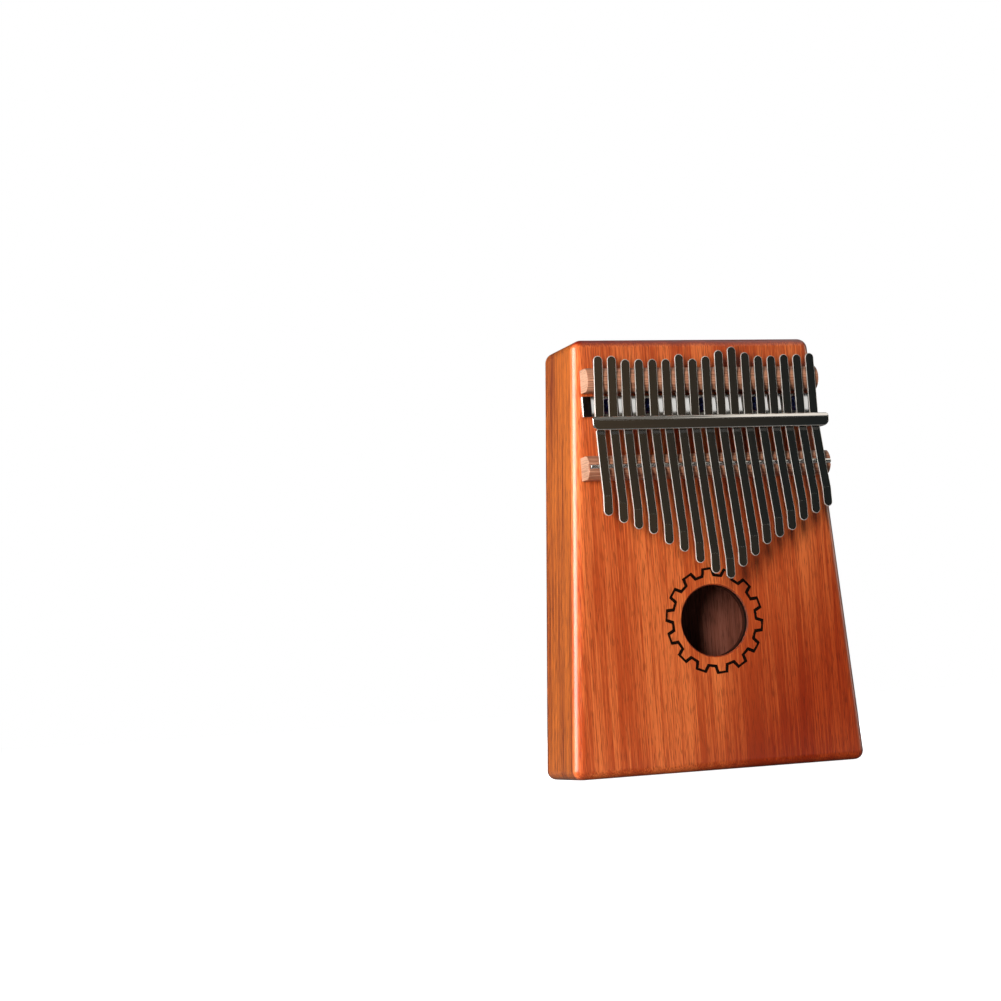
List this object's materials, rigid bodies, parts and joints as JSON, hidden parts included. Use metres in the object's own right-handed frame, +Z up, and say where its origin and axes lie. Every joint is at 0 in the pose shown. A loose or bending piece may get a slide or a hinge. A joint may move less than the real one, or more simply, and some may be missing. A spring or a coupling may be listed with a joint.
{
  "type": "thumb piano",
  "caption": "Wooden box thumb piano: polished spring-steel tines clamped by a chromed bar over a rod bridge, on a hollow tapered box with a round sound hole",
  "frame": {"origin": "middle of the flat bottom face that the box stands on", "axes": "+Z up along the height of the box, -Y is the front that the tines stand on, +Y is the flat back, +X is to the right as the player reads the front"},
  "size_m": [0.1344, 0.0589, 0.185],
  "materials": {
    "soundboard_wood": "gloss lacquered reddish mahogany with fine straight grain",
    "side_wood": "gloss lacquered mahogany planks, orange-brown with straight grain",
    "block_wood": "plain sawn hardwood, unlacquered",
    "bar_wood": "satin pale reddish hardwood with paler end grain",
    "chrome": "bright chrome plate",
    "spring_steel": "mirror polished spring steel with rounded edges",
    "blued_zinc": "blue zinc plated screw steel"
  },
  "bodies": {
    "box": {"soundboard": "soundboard_wood", "back_plate": "soundboard_wood", "left_side": "side_wood", "right_side": "side_wood", "head_block": "side_wood", "tail_block": "side_wood", "pin_block": "block_wood", "backstop_bar": "bar_wood", "bridge_bar": "bar_wood", "bridge_rod": "chrome", "clamp_plate": "chrome", "clamp_screws": "blued_zinc", "pressure_bar": "chrome"},
    "tine_01_root": {"tine_01_root": "spring_steel"},
    "tine_01_blade": {"tine_01_blade": "spring_steel"},
    "tine_02_root": {"tine_02_root": "spring_steel"},
    "tine_02_blade": {"tine_02_blade": "spring_steel"},
    "tine_03_root": {"tine_03_root": "spring_steel"},
    "tine_03_blade": {"tine_03_blade": "spring_steel"},
    "tine_04_root": {"tine_04_root": "spring_steel"},
    "tine_04_blade": {"tine_04_blade": "spring_steel"},
    "tine_05_root": {"tine_05_root": "spring_steel"},
    "tine_05_blade": {"tine_05_blade": "spring_steel"},
    "tine_06_root": {"tine_06_root": "spring_steel"},
    "tine_06_blade": {"tine_06_blade": "spring_steel"},
    "tine_07_root": {"tine_07_root": "spring_steel"},
    "tine_07_blade": {"tine_07_blade": "spring_steel"},
    "tine_08_root": {"tine_08_root": "spring_steel"},
    "tine_08_blade": {"tine_08_blade": "spring_steel"},
    "tine_09_root": {"tine_09_root": "spring_steel"},
    "tine_09_blade": {"tine_09_blade": "spring_steel"},
    "tine_10_root": {"tine_10_root": "spring_steel"},
    "tine_10_blade": {"tine_10_blade": "spring_steel"},
    "tine_11_root": {"tine_11_root": "spring_steel"},
    "tine_11_blade": {"tine_11_blade": "spring_steel"},
    "tine_12_root": {"tine_12_root": "spring_steel"},
    "tine_12_blade": {"tine_12_blade": "spring_steel"},
    "tine_13_root": {"tine_13_root": "spring_steel"},
    "tine_13_blade": {"tine_13_blade": "spring_steel"},
    "tine_14_root": {"tine_14_root": "spring_steel"},
    "tine_14_blade": {"tine_14_blade": "spring_steel"},
    "tine_15_root": {"tine_15_root": "spring_steel"},
    "tine_15_blade": {"tine_15_blade": "spring_steel"},
    "tine_16_root": {"tine_16_root": "spring_steel"},
    "tine_16_blade": {"tine_16_blade": "spring_steel"},
    "tine_17_root": {"tine_17_root": "spring_steel"},
    "tine_17_blade": {"tine_17_blade": "spring_steel"}
  },
  "joints": [
    {"name": "tine_01_tuning", "type": "slide", "parent": "box", "child": "tine_01_root", "axis": [0.0237, 0.0583, 0.998], "range_m": [-0.0015, 0.0015]},
    {"name": "tine_01_pluck", "type": "hinge", "parent": "tine_01_root", "child": "tine_01_blade", "pos_m": [-0.0504, -0.02935, 0.1292], "axis": [0.9997, 0, -0.0237], "range_deg": [-2.1, 2.1], "stiffness_Nm_per_rad": 9.5},
    {"name": "tine_02_tuning", "type": "slide", "parent": "box", "child": "tine_02_root", "axis": [0.0207, 0.0583, 0.9981], "range_m": [-0.0015, 0.0015]},
    {"name": "tine_02_pluck", "type": "hinge", "parent": "tine_02_root", "child": "tine_02_blade", "pos_m": [-0.0441, -0.02935, 0.1292], "axis": [0.9998, 0, -0.0208], "range_deg": [-2.5, 2.5], "stiffness_Nm_per_rad": 8.22},
    {"name": "tine_03_tuning", "type": "slide", "parent": "box", "child": "tine_03_root", "axis": [0.0178, 0.0583, 0.9981], "range_m": [-0.0015, 0.0015]},
    {"name": "tine_03_pluck", "type": "hinge", "parent": "tine_03_root", "child": "tine_03_blade", "pos_m": [-0.0378, -0.02935, 0.1292], "axis": [0.9998, 0, -0.0178], "range_deg": [-2.7, 2.7], "stiffness_Nm_per_rad": 7.36},
    {"name": "tine_04_tuning", "type": "slide", "parent": "box", "child": "tine_04_root", "axis": [0.0148, 0.0583, 0.9982], "range_m": [-0.0015, 0.0015]},
    {"name": "tine_04_pluck", "type": "hinge", "parent": "tine_04_root", "child": "tine_04_blade", "pos_m": [-0.0315, -0.02935, 0.1292], "axis": [0.9999, 0, -0.0148], "range_deg": [-3, 3], "stiffness_Nm_per_rad": 6.79},
    {"name": "tine_05_tuning", "type": "slide", "parent": "box", "child": "tine_05_root", "axis": [0.0118, 0.0583, 0.9982], "range_m": [-0.0015, 0.0015]},
    {"name": "tine_05_pluck", "type": "hinge", "parent": "tine_05_root", "child": "tine_05_blade", "pos_m": [-0.0252, -0.02935, 0.1292], "axis": [0.9999, 0, -0.0119], "range_deg": [-3.4, 3.4], "stiffness_Nm_per_rad": 5.87},
    {"name": "tine_06_tuning", "type": "slide", "parent": "box", "child": "tine_06_root", "axis": [0.0089, 0.0583, 0.9983], "range_m": [-0.0015, 0.0015]},
    {"name": "tine_06_pluck", "type": "hinge", "parent": "tine_06_root", "child": "tine_06_blade", "pos_m": [-0.0189, -0.02935, 0.1292], "axis": [1, 0, -0.0089], "range_deg": [-3.8, 3.8], "stiffness_Nm_per_rad": 5.34},
    {"name": "tine_07_tuning", "type": "slide", "parent": "box", "child": "tine_07_root", "axis": [0.0059, 0.0583, 0.9983], "range_m": [-0.0015, 0.0015]},
    {"name": "tine_07_pluck", "type": "hinge", "parent": "tine_07_root", "child": "tine_07_blade", "pos_m": [-0.0126, -0.02935, 0.1292], "axis": [1, 0, -0.0059], "range_deg": [-4.3, 4.3], "stiffness_Nm_per_rad": 4.71},
    {"name": "tine_08_tuning", "type": "slide", "parent": "box", "child": "tine_08_root", "axis": [0.003, 0.0583, 0.9983], "range_m": [-0.0015, 0.0015]},
    {"name": "tine_08_pluck", "type": "hinge", "parent": "tine_08_root", "child": "tine_08_blade", "pos_m": [-0.0063, -0.02935, 0.1292], "axis": [1, 0, -0.003], "range_deg": [-4.7, 4.7], "stiffness_Nm_per_rad": 4.24},
    {"name": "tine_09_tuning", "type": "slide", "parent": "box", "child": "tine_09_root", "axis": [0, 0.0583, 0.9983], "range_m": [-0.0015, 0.0015]},
    {"name": "tine_09_pluck", "type": "hinge", "parent": "tine_09_root", "child": "tine_09_blade", "pos_m": [0, -0.02935, 0.1292], "axis": [1, 0, 0], "range_deg": [-5, 5], "stiffness_Nm_per_rad": 4.03},
    {"name": "tine_10_tuning", "type": "slide", "parent": "box", "child": "tine_10_root", "axis": [-0.003, 0.0583, 0.9983], "range_m": [-0.0015, 0.0015]},
    {"name": "tine_10_pluck", "type": "hinge", "parent": "tine_10_root", "child": "tine_10_blade", "pos_m": [0.0063, -0.02935, 0.1292], "axis": [1, 0, 0.003], "range_deg": [-4.5, 4.5], "stiffness_Nm_per_rad": 4.46},
    {"name": "tine_11_tuning", "type": "slide", "parent": "box", "child": "tine_11_root", "axis": [-0.0059, 0.0583, 0.9983], "range_m": [-0.0015, 0.0015]},
    {"name": "tine_11_pluck", "type": "hinge", "parent": "tine_11_root", "child": "tine_11_blade", "pos_m": [0.0126, -0.02935, 0.1292], "axis": [1, 0, 0.0059], "range_deg": [-4.1, 4.1], "stiffness_Nm_per_rad": 4.95},
    {"name": "tine_12_tuning", "type": "slide", "parent": "box", "child": "tine_12_root", "axis": [-0.0089, 0.0583, 0.9983], "range_m": [-0.0015, 0.0015]},
    {"name": "tine_12_pluck", "type": "hinge", "parent": "tine_12_root", "child": "tine_12_blade", "pos_m": [0.0189, -0.02935, 0.1292], "axis": [1, 0, 0.0089], "range_deg": [-3.6, 3.6], "stiffness_Nm_per_rad": 5.61},
    {"name": "tine_13_tuning", "type": "slide", "parent": "box", "child": "tine_13_root", "axis": [-0.0118, 0.0583, 0.9982], "range_m": [-0.0015, 0.0015]},
    {"name": "tine_13_pluck", "type": "hinge", "parent": "tine_13_root", "child": "tine_13_blade", "pos_m": [0.0252, -0.02935, 0.1292], "axis": [0.9999, 0, 0.0119], "range_deg": [-3.3, 3.3], "stiffness_Nm_per_rad": 6.07},
    {"name": "tine_14_tuning", "type": "slide", "parent": "box", "child": "tine_14_root", "axis": [-0.0148, 0.0583, 0.9982], "range_m": [-0.0015, 0.0015]},
    {"name": "tine_14_pluck", "type": "hinge", "parent": "tine_14_root", "child": "tine_14_blade", "pos_m": [0.0315, -0.02935, 0.1292], "axis": [0.9999, 0, 0.0148], "range_deg": [-3, 3], "stiffness_Nm_per_rad": 6.67},
    {"name": "tine_15_tuning", "type": "slide", "parent": "box", "child": "tine_15_root", "axis": [-0.0178, 0.0583, 0.9981], "range_m": [-0.0015, 0.0015]},
    {"name": "tine_15_pluck", "type": "hinge", "parent": "tine_15_root", "child": "tine_15_blade", "pos_m": [0.0378, -0.02935, 0.1292], "axis": [0.9998, 0, 0.0178], "range_deg": [-2.6, 2.6], "stiffness_Nm_per_rad": 7.71},
    {"name": "tine_16_tuning", "type": "slide", "parent": "box", "child": "tine_16_root", "axis": [-0.0207, 0.0583, 0.9981], "range_m": [-0.0015, 0.0015]},
    {"name": "tine_16_pluck", "type": "hinge", "parent": "tine_16_root", "child": "tine_16_blade", "pos_m": [0.0441, -0.02935, 0.1292], "axis": [0.9998, 0, 0.0208], "range_deg": [-2.3, 2.3], "stiffness_Nm_per_rad": 8.68},
    {"name": "tine_17_tuning", "type": "slide", "parent": "box", "child": "tine_17_root", "axis": [-0.0237, 0.0583, 0.998], "range_m": [-0.0015, 0.0015]},
    {"name": "tine_17_pluck", "type": "hinge", "parent": "tine_17_root", "child": "tine_17_blade", "pos_m": [0.0504, -0.02935, 0.1292], "axis": [0.9997, 0, 0.0237], "range_deg": [-2, 2], "stiffness_Nm_per_rad": 9.92}
  ]
}
